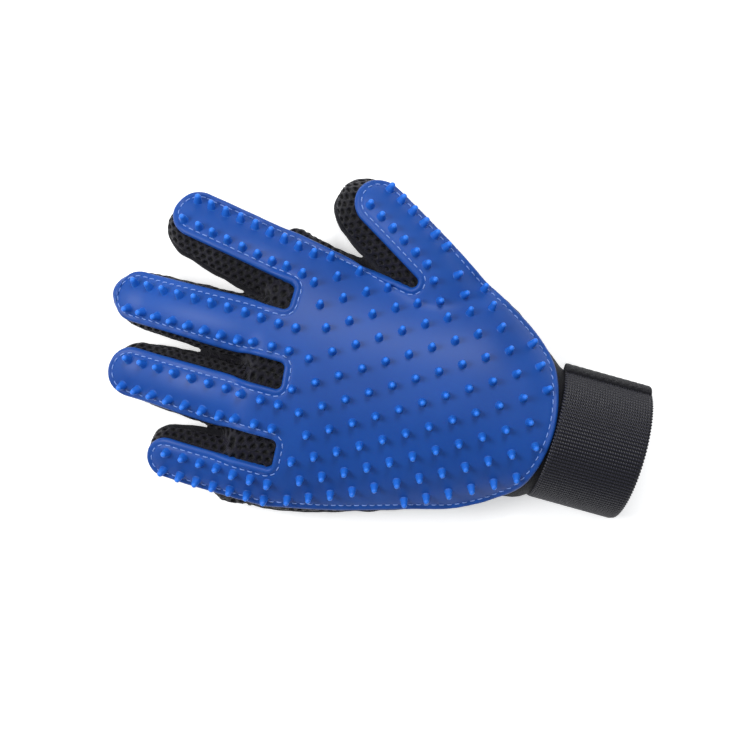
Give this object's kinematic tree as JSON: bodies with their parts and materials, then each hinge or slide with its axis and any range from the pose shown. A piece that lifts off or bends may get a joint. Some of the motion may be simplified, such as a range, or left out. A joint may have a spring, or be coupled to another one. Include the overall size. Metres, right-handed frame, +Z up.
{
  "type": "grooming glove",
  "caption": "Right-hand pet grooming glove: fabric glove with a silicone palm and finger pad set with soft round pins, and a hook-and-loop wrist strap.",
  "frame": {"origin": "on the resting plane, under the middle of the palm, with the glove lying on its back, palm up", "axes": "+X from the fingertips to the wrist, +Y towards the thumb side, +Z up out of the palm"},
  "size_m": [0.2342, 0.1535, 0.0427],
  "materials": {
    "silicone": "satin moulded silicone",
    "pad_thread": "pale blue sewing thread",
    "black_thread": "black sewing thread",
    "air_mesh": "black knitted mesh with small holes",
    "back_knit": "fine black knit",
    "cuff_knit": "smooth black cuff fabric",
    "webbing": "ribbed black webbing",
    "binding": "black binding tape",
    "loop_patch": "brushed loop fastener",
    "hook_patch": "hook fastener"
  },
  "bodies": {
    "palm": {"palm_pad": "silicone", "palm_pad_stitches": "pad_thread", "palm_mesh": "air_mesh", "back_mesh": "back_knit", "cuff_lining": "cuff_knit", "cuff_edge_binding": "binding", "loop_patch": "loop_patch", "loop_patch_stitches": "black_thread", "strap_webbing": "webbing", "strap_anchor_stitches": "black_thread"},
    "index": {"index_pad": "silicone", "index_pad_stitches": "pad_thread", "index_palm_mesh": "air_mesh", "index_back_mesh": "back_knit"},
    "middle": {"middle_pad": "silicone", "middle_pad_stitches": "pad_thread", "middle_palm_mesh": "air_mesh", "middle_back_mesh": "back_knit"},
    "ring": {"ring_pad": "silicone", "ring_pad_stitches": "pad_thread", "ring_palm_mesh": "air_mesh", "ring_back_mesh": "back_knit"},
    "little": {"little_pad": "silicone", "little_pad_stitches": "pad_thread", "little_palm_mesh": "air_mesh", "little_back_mesh": "back_knit"},
    "thumb": {"thumb_pad": "silicone", "thumb_pad_stitches": "pad_thread", "thumb_palm_mesh": "air_mesh", "thumb_back_mesh": "back_knit"},
    "tail": {"strap_tail": "webbing", "hook_patch": "hook_patch", "strap_end_binding": "binding", "strap_end_stitches": "black_thread"}
  },
  "joints": [
    {"name": "index_bend", "type": "hinge", "parent": "palm", "child": "index", "pos_m": [-0.05687, 0.03166, 0.02468], "axis": [0.1488, 0.8441, -0.515], "range_deg": [0, 50]},
    {"name": "middle_bend", "type": "hinge", "parent": "palm", "child": "middle", "pos_m": [-0.062, -0.00323, 0.03547], "axis": [0, 0.9903, -0.1392], "range_deg": [0, 50]},
    {"name": "ring_bend", "type": "hinge", "parent": "palm", "child": "ring", "pos_m": [-0.06, -0.03758, 0.03379], "axis": [0, 0.9816, 0.1908], "range_deg": [0, 50]},
    {"name": "little_bend", "type": "hinge", "parent": "palm", "child": "little", "pos_m": [-0.0562, -0.07069, 0.02272], "axis": [0, 0.8572, 0.515], "range_deg": [0, 50]},
    {"name": "thumb_bend", "type": "hinge", "parent": "palm", "child": "thumb", "pos_m": [0.00404, 0.05119, 0.02578], "axis": [0.4415, 0.7347, -0.515], "range_deg": [0, 40]},
    {"name": "strap_fold", "type": "hinge", "parent": "palm", "child": "tail", "pos_m": [0.0984, -0.04249, 0.01295], "axis": [1, 0, 0], "range_deg": [0, 150]}
  ]
}
